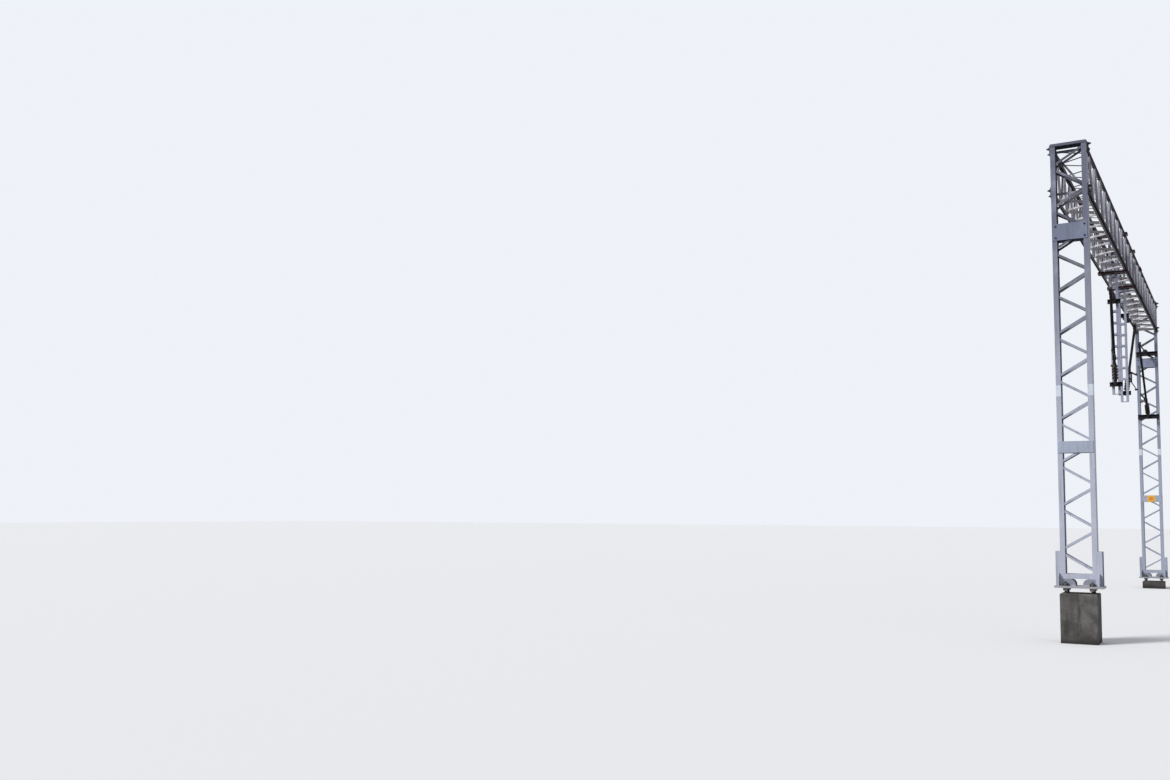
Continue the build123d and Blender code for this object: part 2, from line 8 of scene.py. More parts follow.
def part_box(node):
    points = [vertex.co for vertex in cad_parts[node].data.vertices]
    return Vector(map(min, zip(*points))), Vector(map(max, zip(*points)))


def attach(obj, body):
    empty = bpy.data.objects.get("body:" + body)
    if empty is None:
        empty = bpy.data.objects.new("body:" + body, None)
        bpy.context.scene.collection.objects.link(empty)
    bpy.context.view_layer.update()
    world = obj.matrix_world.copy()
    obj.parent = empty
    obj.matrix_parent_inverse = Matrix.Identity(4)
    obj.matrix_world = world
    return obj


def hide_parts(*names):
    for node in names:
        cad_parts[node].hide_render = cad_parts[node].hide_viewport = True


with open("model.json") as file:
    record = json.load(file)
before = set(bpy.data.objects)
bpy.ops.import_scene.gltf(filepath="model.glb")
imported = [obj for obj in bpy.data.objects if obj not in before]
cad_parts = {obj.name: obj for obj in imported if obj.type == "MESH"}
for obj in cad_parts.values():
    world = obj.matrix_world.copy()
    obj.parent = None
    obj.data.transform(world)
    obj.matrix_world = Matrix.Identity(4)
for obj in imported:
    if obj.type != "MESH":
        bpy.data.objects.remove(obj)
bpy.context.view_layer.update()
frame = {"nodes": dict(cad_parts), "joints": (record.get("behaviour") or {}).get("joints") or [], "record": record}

# Concrete piers. Each is one cast block under a mast, grey-brown with weather and darker
# towards its foot, with air holes and faint board marks from its formwork.
pier_dark = (0.060, 0.055, 0.053, 1)
pier_pale = (0.150, 0.142, 0.136, 1)
pier_stain_and_shade = (0.030, 0.027, 0.025, 1)
pier_chalk = (0.260, 0.250, 0.238, 1)
pier_sheen = 0.3
pier_sand_share = 0.6
# The far pier is darkened all over with painted shade; the near one is not. The stain colour serves both the real
# stains and this painted shade.
pier_painted_shade = {"near": 0.0, "far": 0.55}
pier_stain_height = 0.16
pier_pore_depth = 0.006
cloud_roughness = 0.6


def start_finish(name, roughness, metallic=0.0, sheen=0.5):
    """A new material and its shader, with its plain settings."""
    finish = bpy.data.materials.new(name)
    finish.use_nodes = True
    shader = finish.node_tree.nodes["Principled BSDF"]
    shader.inputs["Roughness"].default_value = roughness
    shader.inputs["Metallic"].default_value = metallic
    shader.inputs["Specular IOR Level"].default_value = sheen
    return finish, shader


def feed(socket, value):
    """Joins an input to another node's output, or sets it to a plain value."""
    if isinstance(value, bpy.types.NodeSocket):
        socket.id_data.links.new(value, socket)
    else:
        socket.default_value = value


def join(shader, pattern, name):
    """Joins a pattern to one of the shader's own inputs."""
    feed(shader.inputs[name], pattern)


def add_node(shader, kind, **inputs):
    """A node beside the shader, with the named inputs fed."""
    node = shader.id_data.nodes.new(kind)
    for name, value in inputs.items():
        feed(node.inputs[name.replace("_", " ")], value)
    return node


def coordinate(shader, axis, source="Object"):
    """One coordinate of the surface's place, or of its normal."""
    place = add_node(shader, "ShaderNodeTexCoord").outputs[source]
    return add_node(shader, "ShaderNodeSeparateXYZ", Vector=place).outputs[axis]


def between(shader, value, low, high):
    """Share that runs smoothly from 0 where the value is low to 1 where it is high."""
    node = add_node(shader, "ShaderNodeMapRange", Value=value, From_Min=low, From_Max=high)
    node.interpolation_type = "SMOOTHSTEP"
    return node.outputs["Result"]


def height_share(shader, low, high):
    """Share from 0 at one height of the portal to 1 at another."""
    return between(shader, coordinate(shader, "Z"), low, high)


def cloudy(shader, scale, stretch=(1, 1, 1), detail=5.0):
    """Soft random pattern fixed to the piece, drawn out along an axis by a small stretch."""
    place = add_node(shader, "ShaderNodeTexCoord").outputs["Object"]
    drawn = add_node(shader, "ShaderNodeMapping", Vector=place, Scale=stretch).outputs["Vector"]
    noise = add_node(
        shader, "ShaderNodeTexNoise",
        Vector=drawn, Scale=scale, Detail=detail, Roughness=cloud_roughness,
    )
    return noise.outputs["Fac"]


def patchy(shader, scale, low, high, stretch=(1, 1, 1), detail=5.0):
    """Share in soft random patches: 0 where the pattern is under low, 1 where it is over high."""
    return between(shader, cloudy(shader, scale, stretch, detail), low, high)


def figure(shader, operation, first, second=0.0):
    """Result of one sum on one or two values."""
    node = add_node(shader, "ShaderNodeMath")
    node.operation = operation
    for socket, value in zip(node.inputs, (first, second)):
        feed(socket, value)
    return node.outputs["Value"]


def times(shader, first, *others):
    """Product of shares."""
    for other in others:
        first = figure(shader, "MULTIPLY", first, other)
    return first


def blend(shader, share, first, second):
    """Colour that goes from first to second with the share."""
    node = add_node(shader, "ShaderNodeMix", Factor=share)
    node.data_type = "RGBA"
    colour_inputs = [socket for socket in node.inputs if socket.type == "RGBA"]
    for socket, colour in zip(colour_inputs, (first, second)):
        feed(socket, colour)
    return next(socket for socket in node.outputs if socket.type == "RGBA")


def roughen(shader, height, depth, strength):
    """Bump of a real depth in metres."""
    bump = add_node(shader, "ShaderNodeBump", Height=height, Distance=depth, Strength=strength)
    join(shader, bump.outputs["Normal"], "Normal")


def finish_nodes(finish, *names):
    """Gives carried-over pieces their finish."""
    for name in names:
        frame["nodes"][name].material_slots[0].material = finish


for mast, painted_shade_share in pier_painted_shade.items():
    concrete, shader = start_finish(f"{mast}_concrete", roughness=0.92, sheen=pier_sheen)
    mottle = patchy(shader, scale=3.2, low=0.35, high=0.68, detail=8.0)
    colour = blend(shader, mottle, pier_dark, pier_pale)
    streaks = patchy(shader, scale=9.0, low=0.56, high=0.78, stretch=(1, 1, 0.12))
    colour = blend(shader, streaks, colour, pier_stain_and_shade)
    sand = patchy(shader, scale=140.0, low=0.60, high=0.72, detail=2.0)
    colour = blend(shader, times(shader, sand, pier_sand_share), colour, pier_chalk)
    # Painted shade over the far pier.
    colour = blend(shader, painted_shade_share, colour, pier_stain_and_shade)
    foot_stain = height_share(shader, pier_stain_height, 0.0)
    join(shader, blend(shader, foot_stain, colour, pier_stain_and_shade), "Base Color")
    pores = patchy(shader, scale=55.0, low=0.30, high=0.44, detail=3.0)
    boards = cloudy(shader, scale=5.0, stretch=(0.3, 0.3, 6.0), detail=2.0)
    roughen(shader, times(shader, pores, boards), pier_pore_depth, strength=0.7)
    finish_nodes(concrete, f"{mast}_pier")

# Anchor bolts. Four threaded steel rods stand out of each pier and level the mast: a nut and
# a washer under the base plate, a washer and a nut on top of it. They are dull and a bit rusty.
up = Vector((0, 0, 1))
bolt_diameter = 0.042
thread_pitch = 0.0045
thread_depth = 0.0022
anchor_nut_flats = 0.075
anchor_nut_height = 0.036
anchor_washer_diameter = 0.100
anchor_washer_thickness = 0.010
base_plate_thickness = 0.035
bolt_spacing_along = 0.330
bolt_spacing_across = 0.415
nut_chamfer = 0.0035
nut_chamfer_share = 1 / 5
washer_bevel_share = 1 / 6
sharp_edge_angle = math.radians(32)
bolt_dark = (0.055, 0.050, 0.048, 1)
bolt_zinc = (0.210, 0.205, 0.200, 1)
bolt_rust = (0.140, 0.050, 0.020, 1)


def vary_roughness(shader, share, low, high):
    """Roughness that runs between two values with the share."""
    node = add_node(shader, "ShaderNodeMapRange", Value=share, To_Min=low, To_Max=high)
    join(shader, node.outputs["Result"], "Roughness")


def place_along(middle, direction):
    """Matrix that turns a shape made along Z to a direction and sets it at a point."""
    return Matrix.Translation(middle) @ direction.to_track_quat("Z", "Y").to_matrix().to_4x4()


def add_round(shape, start, direction, radius, length, sides=24, bevel=0.0):
    """Round or hexagonal bar from a point along a direction, with broken ends if bevel is set."""
    made = bmesh.ops.create_cone(
        shape,
        cap_ends=True,
        segments=sides,
        radius1=radius,
        radius2=radius,
        depth=length,
        matrix=place_along(start + direction * length / 2, direction),
    )
    if bevel:
        faces = dict.fromkeys(face for vert in made["verts"] for face in vert.link_faces)
        rims = [edge for face in faces if len(face.verts) == sides for edge in face.edges]
        bmesh.ops.bevel(
            shape, geom=rims, offset=bevel, affect="EDGES", segments=1, profile=0.5, material=-1
        )


def add_nut(shape, start, direction, flats, height):
    """Hexagon nut or bolt head with chamfered corners, seated at start."""
    bevel = min(nut_chamfer, height * nut_chamfer_share)
    add_round(shape, start, direction, flats / math.sqrt(3), height, sides=6, bevel=bevel)


def add_washer(shape, start, direction, diameter, thickness):
    """Flat round washer, seated at start."""
    bevel = thickness * washer_bevel_share
    add_round(shape, start, direction, diameter / 2, thickness, sides=28, bevel=bevel)


def add_turned(shape, outline, place, steps=32):
    """Body of revolution from (radius, height) points, moved to its place."""
    made = bmesh.new()
    points = [made.verts.new((radius, 0, level)) for radius, level in outline]
    edges = [made.edges.new(pair) for pair in zip(points, points[1:])]
    bmesh.ops.spin(
        made,
        geom=points + edges,
        cent=(0, 0, 0),
        axis=up,
        angle=math.tau,
        steps=steps,
        use_merge=True,
    )
    bmesh.ops.remove_doubles(made, verts=made.verts, dist=1e-6)
    bmesh.ops.transform(made, matrix=place, verts=made.verts)
    held = bpy.data.meshes.new("turned")
    made.to_mesh(held)
    made.free()
    shape.from_mesh(held)
    bpy.data.meshes.remove(held)


def add_threaded_rod(shape, start, length):
    """Upright rod with its thread cut as close rings."""
    crest = bolt_diameter / 2
    root = crest - thread_depth
    outline = [(0, 0)]
    for turn in range(int(length / thread_pitch)):
        outline += [(root, turn * thread_pitch), (crest, (turn + 0.5) * thread_pitch)]
    outline += [(root, length), (0, length)]
    add_turned(shape, outline, Matrix.Translation(start), steps=20)


def fit_piece(name, shape, finish, body):
    """Turns a finished shape into a piece that rides on its body."""
    bmesh.ops.recalc_face_normals(shape, faces=shape.faces)
    mesh = bpy.data.meshes.new(name)
    shape.to_mesh(mesh)
    shape.free()
    mesh.shade_smooth()
    mesh.set_sharp_from_angle(angle=sharp_edge_angle)
    mesh.materials.append(finish)
    piece = bpy.data.objects.new(name, mesh)
    bpy.context.scene.collection.objects.link(piece)
    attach(piece, body)
    return piece


bolt_steel, shader = start_finish("bolt_steel", roughness=0.55, metallic=0.75)
worn = patchy(shader, scale=26.0, low=0.38, high=0.66, detail=6.0)
rusty = patchy(shader, scale=60.0, low=0.55, high=0.70, detail=6.0)
colour = blend(shader, rusty, blend(shader, worn, bolt_dark, bolt_zinc), bolt_rust)
join(shader, colour, "Base Color")
vary_roughness(shader, rusty, low=0.42, high=0.85)
roughen(shader, cloudy(shader, scale=220.0), depth=0.0006, strength=0.5)

for mast in ("near", "far"):
    low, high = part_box(f"{mast}_anchor_bolts")
    middle = (low + high) / 2
    plate_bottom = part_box(f"{mast}_base")[0].z
    plate_top = plate_bottom + base_plate_thickness
    lower_washer = plate_bottom - anchor_washer_thickness
    washer_levels = (lower_washer, plate_top)
    nut_levels = (lower_washer - anchor_nut_height, plate_top + anchor_washer_thickness)
    bolts = bmesh.new()
    for x in (middle.x - bolt_spacing_along / 2, middle.x + bolt_spacing_along / 2):
        for y in (middle.y - bolt_spacing_across / 2, middle.y + bolt_spacing_across / 2):
            add_threaded_rod(bolts, Vector((x, y, low.z)), high.z - low.z)
            for z in washer_levels:
                seat = Vector((x, y, z))
                add_washer(bolts, seat, up, anchor_washer_diameter, anchor_washer_thickness)
            for z in nut_levels:
                add_nut(bolts, Vector((x, y, z)), up, anchor_nut_flats, anchor_nut_height)
    piece = fit_piece(f"{mast}_threaded_bolts", bolts, bolt_steel, "root")
    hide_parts(f"{mast}_anchor_bolts")

# Mast feet. A thick plate with two channel ears, four ribs and foot rails on round-shouldered
# plates, welded together and dipped in zinc, then painted lavender grey like the whole mast.
along = Vector((1, 0, 0))
# Each paint runs from its own colour low down to a much darker one high up; the darker one is painted shade.
paint_low = (0.420, 0.440, 0.530, 1)
paint_shaded_top = (0.118, 0.126, 0.182, 1)
# The far mast's colours are darker copies of the near mast's: painted shade.
far_shaded_paint = (0.315, 0.342, 0.432, 1)
far_shaded_top = (0.125, 0.145, 0.205, 1)
cement_dust = (0.300, 0.292, 0.285, 1)
paint_grime = (0.085, 0.078, 0.082, 1)
paint_rust = (0.185, 0.075, 0.032, 1)
underside_dark = (0.030, 0.026, 0.030, 1)
top_shade_start = 3.0
top_shade_full = 7.9
chalk_lift = 1.3
chalk_share = 0.5
grime_depth = 0.6
dust_edge = 0.004
dust_share = 0.75


def facing_down(shader):
    """Share that is 1 on faces that look straight down and 0 on upright ones."""
    return between(shader, coordinate(shader, "Z", source="Normal"), low=-0.35, high=-0.80)


def steel_paint(
    name, lower, shaded_top=None, grime=0.35, rust=0.8, underside_darkening=0.5, sheen=0.35, dust_level=None
):
    """Satin paint with painted shade towards the top, chalk, rain streaks, dust, rust freckles, and darker
    downward faces.
    """
    shaded_top = shaded_top or lower
    chalked = tuple(min(1.0, part * chalk_lift) for part in lower)
    grimed = tuple(min(dark, part * grime_depth) for dark, part in zip(paint_grime, shaded_top))
    finish, shader = start_finish(name, roughness=0.46, sheen=sheen)
    # Painted shade: the colour darkens towards the top.
    colour = blend(shader, height_share(shader, top_shade_start, top_shade_full), lower, shaded_top)
    chalk = patchy(shader, scale=1.7, low=0.45, high=0.80, detail=3.0)
    colour = blend(shader, times(shader, chalk, chalk_share), colour, chalked)
    rain = patchy(shader, scale=16.0, low=0.50, high=0.74, stretch=(1, 1, 0.06), detail=6.0)
    colour = blend(shader, times(shader, rain, grime), colour, grimed)
    dust = patchy(shader, scale=38.0, low=0.52, high=0.80, detail=8.0)
    colour = blend(shader, times(shader, dust, grime), colour, grimed)
    rusty_places = patchy(shader, scale=2.6, low=0.45, high=0.62, detail=2.0)
    freckles = patchy(shader, scale=85.0, low=0.66, high=0.72, detail=5.0)
    colour = blend(shader, times(shader, rusty_places, freckles, rust), colour, paint_rust)
    # Faces that look down are darkened.
    colour = blend(shader, times(shader, facing_down(shader), underside_darkening), colour, underside_dark)
    if dust_level:
        below = height_share(shader, dust_level + dust_edge, dust_level)
        colour = blend(shader, times(shader, below, dust_share), colour, cement_dust)
    join(shader, colour, "Base Color")
    vary_roughness(shader, dust, low=0.48, high=0.74)
    roughen(shader, cloudy(shader, scale=120.0, detail=3.0), depth=0.0008, strength=0.35)
    return finish


def lay_over(finish, share, colour):
    """Lays one more colour over a finish where the share is high."""
    shader = finish.node_tree.nodes["Principled BSDF"]
    below = shader.inputs["Base Color"].links[0].from_socket
    join(shader, blend(shader, share, below, colour), "Base Color")


# Painted shadow with some grime: under the foot rail and above the base plate, inside the channels, the paint is
# darkened.
foot_rail_rise = 0.118
foot_shade = (0.150, 0.155, 0.190, 1)
foot_shade_share = 0.7
foot_shade_edge = 0.004
foot_shade_fade = 0.030
foot_shade_half_width = (0.262, 0.246)
mast_paints = {}
for mast, lower, shaded_top in (
    ("near", paint_low, paint_shaded_top),
    ("far", far_shaded_paint, far_shaded_top),
):
    plate_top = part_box(f"{mast}_base")[0].z + base_plate_thickness
    rail = plate_top + foot_rail_rise
    paint = steel_paint(f"{mast}_mast_paint", lower, shaded_top, dust_level=plate_top)
    shader = paint.node_tree.nodes["Principled BSDF"]
    # Mask of the painted shadow under the foot rail.
    under_rail = height_share(shader, rail + foot_shade_edge, rail - foot_shade_edge)
    over_plate = height_share(shader, plate_top, plate_top + foot_shade_fade)
    off_middle = figure(shader, "ABSOLUTE", coordinate(shader, "Y"))
    inside = between(shader, off_middle, *foot_shade_half_width)
    share = times(shader, under_rail, over_plate, inside, foot_shade_share)
    lay_over(paint, share, foot_shade)
    mast_paints[mast] = paint
    finish_nodes(paint, f"{mast}_base")

weld_radius = 0.006
weld_drop_stretch = 1.6
weld_drop_spacing = 0.9
rib_height = 0.215
rib_run = 0.095
rib_thickness = 0.012
rib_middle_y = 0.316
ear_outer_y = 0.365


def add_weld(shape, start, end, radius=weld_radius):
    """Weld bead along a seam, as a row of drops that run into each other."""
    direction = (end - start).normalized()
    reach = radius * weld_drop_stretch
    run = (end - start).length - 2 * reach
    count = max(1, int(run / (radius * weld_drop_spacing)))
    stretch = Matrix.Diagonal((1, 1, weld_drop_stretch, 1))
    for index in range(count + 1):
        place = place_along(start + direction * (reach + run * index / count), direction)
        made = bmesh.ops.create_icosphere(shape, subdivisions=1, radius=radius)
        bmesh.ops.transform(shape, matrix=place @ stretch, verts=made["verts"])


for mast in ("near", "far"):
    low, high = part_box(f"{mast}_base")
    middle_x = (low.x + high.x) / 2
    plate_top = low.z + base_plate_thickness
    channels_low, channels_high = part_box(f"{mast}_channels")
    half_depth = (channels_high.x - channels_low.x) / 2
    half_width = channels_high.y
    welds = bmesh.new()
    for x in (-1, 1):
        face_x = middle_x + x * half_depth
        for y in (-1, 1):
            for side in (-1, 1):
                rib_y = y * rib_middle_y + side * rib_thickness / 2
                foot = Vector((face_x, rib_y, plate_top))
                add_weld(welds, foot, foot + along * x * rib_run)
                add_weld(welds, foot, foot + up * rib_height)
            corner = Vector((face_x, y * half_width, plate_top))
            add_weld(welds, corner, Vector((face_x, y * ear_outer_y, plate_top)))
            ear_top = Vector((middle_x, y * half_width, high.z))
            add_weld(welds, ear_top, ear_top + along * x * half_depth)
    fit_piece(f"{mast}_foot_welds", welds, mast_paints[mast], "root")

# Mast channels, lacing and battens. Each mast is two rolled channels that face each other,
# laced with a zigzag of small angles welded behind the flanges and tied by plates outside.
# The darker high colours of the lacing and battens are painted shade towards the top.
lacing_low = (0.400, 0.415, 0.500, 1)
lacing_shaded_top = (0.060, 0.062, 0.088, 1)
batten_low = (0.330, 0.365, 0.460, 1)
batten_shaded_top = (0.140, 0.160, 0.240, 1)
cap_colour = (0.085, 0.092, 0.128, 1)
lacing_paint = steel_paint("lacing_paint", lacing_low, lacing_shaded_top, underside_darkening=0.8)
# The far mast's lacing starts from the far mast's darker colour, which is painted shade.
far_lacing_paint = steel_paint("far_lacing_paint", far_shaded_paint, lacing_shaded_top, underside_darkening=0.8)
batten_paint = steel_paint("batten_paint", batten_low, batten_shaded_top)
cap_paint = steel_paint("cap_paint", cap_colour)
for mast, zigzag_paint in (("near", lacing_paint), ("far", far_lacing_paint)):
    finish_nodes(mast_paints[mast], f"{mast}_channels")
    finish_nodes(batten_paint, f"{mast}_battens")
    finish_nodes(zigzag_paint, f"{mast}_front_lacing", f"{mast}_back_lacing")
finish_nodes(cap_paint, "mast_caps")

# Reflective bands. A strip of white plastic foil is glued round the outside of both channels
# of each mast, some four metres up, and has gone a little dirty along its edges.
band_heights = {"near": (4.203, 4.394), "far": (3.990, 4.170)}
band_thickness = 0.0012
band_smear_share = 0.6
band_white = (0.600, 0.655, 0.735, 1)
band_dirt = (0.330, 0.330, 0.340, 1)
flange_width = 0.080

band_foil, shader = start_finish("band_foil", roughness=0.35)
smear = patchy(shader, scale=22.0, low=0.50, high=0.78, stretch=(1, 1, 0.3), detail=7.0)
dirty = times(shader, smear, band_smear_share)
join(shader, blend(shader, dirty, band_white, band_dirt), "Base Color")
roughen(shader, cloudy(shader, scale=400.0), depth=0.0004, strength=0.3)
for mast, (band_low, band_high) in band_heights.items():
    low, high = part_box(f"{mast}_channels")
    front = low.x - band_thickness / 2
    back = high.x + band_thickness / 2
    bands = bmesh.new()
    for side in (-1, 1):
        outer = side * (high.y + band_thickness / 2)
        inner = side * (high.y - flange_width)
        wrap = [(front, inner), (front, outer), (back, outer), (back, inner)]
        corners = [bands.verts.new((x, y, band_low)) for x, y in wrap]
        edges = [bands.edges.new(pair) for pair in zip(corners, corners[1:])]
        raised = bmesh.ops.extrude_edge_only(bands, edges=edges)["geom"]
        tops = [item for item in raised if isinstance(item, bmesh.types.BMVert)]
        bmesh.ops.translate(bands, vec=up * (band_high - band_low), verts=tops)
    bmesh.ops.recalc_face_normals(bands, faces=bands.faces)
    bmesh.ops.solidify(bands, geom=bands.faces, thickness=band_thickness / 2)
    fit_piece(f"{mast}_bands", bands, band_foil, "root")

# Batten bolts. Sooty steel bolts hold the upper batten of each mast at its four corners, front
# and back, and the middle batten is welded along its short sides.
batten_bolt_flats = 0.024
batten_bolt_height = 0.011
batten_bolt_inset = 0.045
batten_weld_radius = 0.007
batten_weld_sink = 0.008
upper_batten_height = {"near": 0.292, "far": 0.276}
middle_batten_height = {"near": 0.198, "far": 0.196}
soot_black = (0.012, 0.011, 0.012, 1)
soot_brown = (0.055, 0.048, 0.048, 1)

sooty_steel, shader = start_finish("sooty_steel", roughness=0.75, metallic=0.2)
sooted = patchy(shader, scale=40.0, low=0.38, high=0.68, detail=6.0)
join(shader, blend(shader, sooted, soot_black, soot_brown), "Base Color")
roughen(shader, cloudy(shader, scale=240.0), depth=0.0006, strength=0.5)


def add_nut_on_washer(shape, seat, direction, flats, height, washer_share=1.5, washer=0.003):
    """Nut or bolt head on a thin washer, whose width is a share of the nut's."""
    add_washer(shape, seat, direction, flats * washer_share, washer)
    add_nut(shape, seat + direction * washer, direction, flats, height)


for mast in ("near", "far"):
    low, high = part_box(f"{mast}_battens")
    upper_batten = (
        high.z - batten_bolt_inset,
        high.z - upper_batten_height[mast] + batten_bolt_inset,
    )
    bolts = bmesh.new()
    welds = bmesh.new()
    for face_x, out in ((low.x, -along), (high.x, along)):
        for side in (-1, 1):
            for z in upper_batten:
                head = Vector((face_x, side * (high.y - batten_bolt_inset), z))
                add_nut_on_washer(bolts, head, out, batten_bolt_flats, batten_bolt_height)
            foot = Vector((face_x - out.x * batten_weld_sink, side * high.y, low.z))
            add_weld(welds, foot, foot + up * middle_batten_height[mast], batten_weld_radius)
    fit_piece(f"{mast}_batten_bolts", bolts, sooty_steel, "root")
    fit_piece(f"{mast}_batten_welds", welds, batten_paint, "root")

# Beam. Four angle chords laced on all sides with welded steel bars, in older and darker paint
# than the masts'. The chords are purple-brown with a paler strip of painted light along their
# inner underside, and under the beam every second bar is painted dark as shade and the
# others pale as lit.
chord_colour = (0.105, 0.095, 0.110, 1)
chord_painted_light = (0.400, 0.385, 0.400, 1)
light_strip_start = 0.024
light_strip_full = 0.032
brace_colour = (0.290, 0.288, 0.335, 1)
lit_bottom_brace = (0.560, 0.550, 0.575, 1)
shaded_bottom_brace = (0.150, 0.140, 0.150, 1)
painted_light_share = 0.8
beam_panels = 40
beam_low, beam_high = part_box("beam_left_chords")

chord_paint = steel_paint("chord_paint", chord_colour, grime=0.5, rust=1.0, underside_darkening=0.9, sheen=0.0)
# Painted light: a paler strip on the inner part of the chords' downward faces.
shader = chord_paint.node_tree.nodes["Principled BSDF"]
off_middle = figure(shader, "ABSOLUTE", coordinate(shader, "Y"))
inner_strip = between(
    shader, off_middle, beam_high.y - light_strip_start, beam_high.y - light_strip_full
)
painted_light_strip = times(shader, inner_strip, facing_down(shader), painted_light_share)
lay_over(chord_paint, painted_light_strip, chord_painted_light)

brace_paint = steel_paint("brace_paint", brace_colour, grime=0.5, rust=1.0, underside_darkening=0.9, sheen=0.06)

bottom_brace_paint = steel_paint(
    "bottom_brace_paint", lit_bottom_brace, grime=0.25, rust=0.6, underside_darkening=0.1, sheen=0.3
)
# Painted light and shade: every second bar under the beam is painted dark, the others pale.
shader = bottom_brace_paint.node_tree.nodes["Principled BSDF"]
from_start = figure(shader, "SUBTRACT", coordinate(shader, "X"), beam_low.x)
bar_pair = 2 * (beam_high.x - beam_low.x) / beam_panels
within_pair = figure(shader, "FRACT", figure(shader, "DIVIDE", from_start, bar_pair))
every_second = figure(shader, "GREATER_THAN", within_pair, 0.5)
lay_over(bottom_brace_paint, times(shader, every_second, painted_light_share), shaded_bottom_brace)

finish_nodes(chord_paint, "beam_left_chords", "beam_right_chords")
finish_nodes(chord_paint, "beam_splices", "beam_fishplates")
finish_nodes(brace_paint, "beam_left_lattice", "beam_right_lattice")
finish_nodes(brace_paint, "beam_top_lattice", "beam_end_frames")
finish_nodes(bottom_brace_paint, "beam_bottom_lattice")

# Beam joints. Side plates bolted through the chords join them to the masts and to each other,
# with steel studs through the mast's channels that stand out beyond their nuts.
across = Vector((0, 1, 0))
plate_bolt_flats = 0.030
plate_bolt_height = 0.0125
plate_bolt_count = 3
plate_bolt_start = 0.130
plate_bolt_step = 0.042
splice_bolt_count = 6
stud_flats = 0.046
stud_nut_height = 0.026
stud_radius = 0.015
stud_reach = 0.056
stud_bevel = 0.002
stud_washer_share = 1.4
stud_washer_thickness = 0.004
stud_rises_and_sizes = ((0.050, 1.0), (-0.048, 0.75))
chord_plate_inset = 0.0325
plate_levels = (beam_low.z + chord_plate_inset, beam_high.z - chord_plate_inset)
beam_bolts = bmesh.new()
studs = bmesh.new()

plates_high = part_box("beam_fishplates")[1]
for mast, inward in (("near", 1), ("far", -1)):
    channels_low, channels_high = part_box(f"{mast}_channels")
    mast_x = (channels_low.x + channels_high.x) / 2
    for side in (-1, 1):
        out = across * side
        for z in plate_levels:
            for rise, size in stud_rises_and_sizes:
                seat = Vector((mast_x, side * plates_high.y, z + rise))
                add_nut_on_washer(
                    studs, seat, out, stud_flats * size, stud_nut_height * size,
                    stud_washer_share, stud_washer_thickness,
                )
                add_round(
                    studs, seat, out, stud_radius * size, stud_reach * size, bevel=stud_bevel
                )
            for step in range(plate_bolt_count):
                x = mast_x + inward * (plate_bolt_start + step * plate_bolt_step)
                seat = Vector((x, side * plates_high.y, z))
                add_nut(beam_bolts, seat, out, plate_bolt_flats, plate_bolt_height)

splice_low, splice_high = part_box("beam_splices")
splice_step = (splice_high.x - splice_low.x) / splice_bolt_count
for side in (-1, 1):
    for z in plate_levels:
        for step in range(splice_bolt_count):
            x = splice_low.x + (step + 0.5) * splice_step
            seat = Vector((x, side * splice_high.y, z))
            add_nut(beam_bolts, seat, across * side, plate_bolt_flats, plate_bolt_height)
fit_piece("beam_plate_bolts", beam_bolts, sooty_steel, "root")
fit_piece("mast_studs", studs, sooty_steel, "root")

# Drop posts. Each is two steel channels battened like a ladder that hang from the beam, held by
# a pair of bars over it and a pair under it, with bolts through the chords at every crossing.
# The posts' darker high colour is painted shade towards the top.
post_low = (0.390, 0.405, 0.500, 1)
post_shaded_top = (0.230, 0.240, 0.320, 1)
head_bar_colour = (0.110, 0.078, 0.084, 1)
post_half_depth = 0.050
head_bolt_flats = 0.030
head_bolt_radius = 0.010
head_bolt_reach = 0.030
head_bolt_bevel = 0.001
outer_nut_height = 0.016
inner_nut_height = 0.013
head_bolt_x = 0.026
head_bolt_y = 0.2575
head_flange_thickness = 0.007
chord_leg_thickness = 0.007

post_paint = steel_paint("post_paint", post_low, post_shaded_top, grime=0.55, rust=1.0)
finish_nodes(post_paint, "drop_post_1", "drop_post_2")
head_bar_paint = steel_paint(
    "head_bar_paint", head_bar_colour, grime=0.5, rust=1.4, underside_darkening=0.45, sheen=0.0
)
finish_nodes(head_bar_paint, "post_head_bars")

bar_faces = (
    (beam_high.z + head_flange_thickness, up),
    (beam_low.z - head_flange_thickness, -up),
)
clamp_bolts = bmesh.new()
for number in (1, 2):
    low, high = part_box(f"drop_post_{number}")
    middle_x = (low.x + high.x) / 2
    for side in (-1, 1):
        for end in (-1, 1):
            for z, out in bar_faces:
                x = middle_x + end * (post_half_depth + head_bolt_x)
                seat = Vector((x, side * head_bolt_y, z))
                inner_seat = seat - out * (head_flange_thickness + chord_leg_thickness)
                add_nut_on_washer(clamp_bolts, seat, out, head_bolt_flats, outer_nut_height)
                add_round(
                    clamp_bolts, seat, out, head_bolt_radius, head_bolt_reach,
                    sides=16, bevel=head_bolt_bevel,
                )
                add_nut_on_washer(clamp_bolts, inner_seat, -out, head_bolt_flats, inner_nut_height)
fit_piece("post_clamp_bolts", clamp_bolts, sooty_steel, "root")

# Hinge brackets. Steel box bars bolted across the posts and the far mast, each with two lugs
# and a pin that a cantilever swings on, all dark with soot.
bracket_low = (0.020, 0.018, 0.022, 1)
bracket_high = (0.026, 0.024, 0.030, 1)
bracket_finish = steel_paint(
    "bracket_finish", bracket_low, bracket_high, grime=0.3, rust=0.6, underside_darkening=0.6, sheen=0.05
)
finish_nodes(bracket_finish, "post_brackets", "far_brackets")

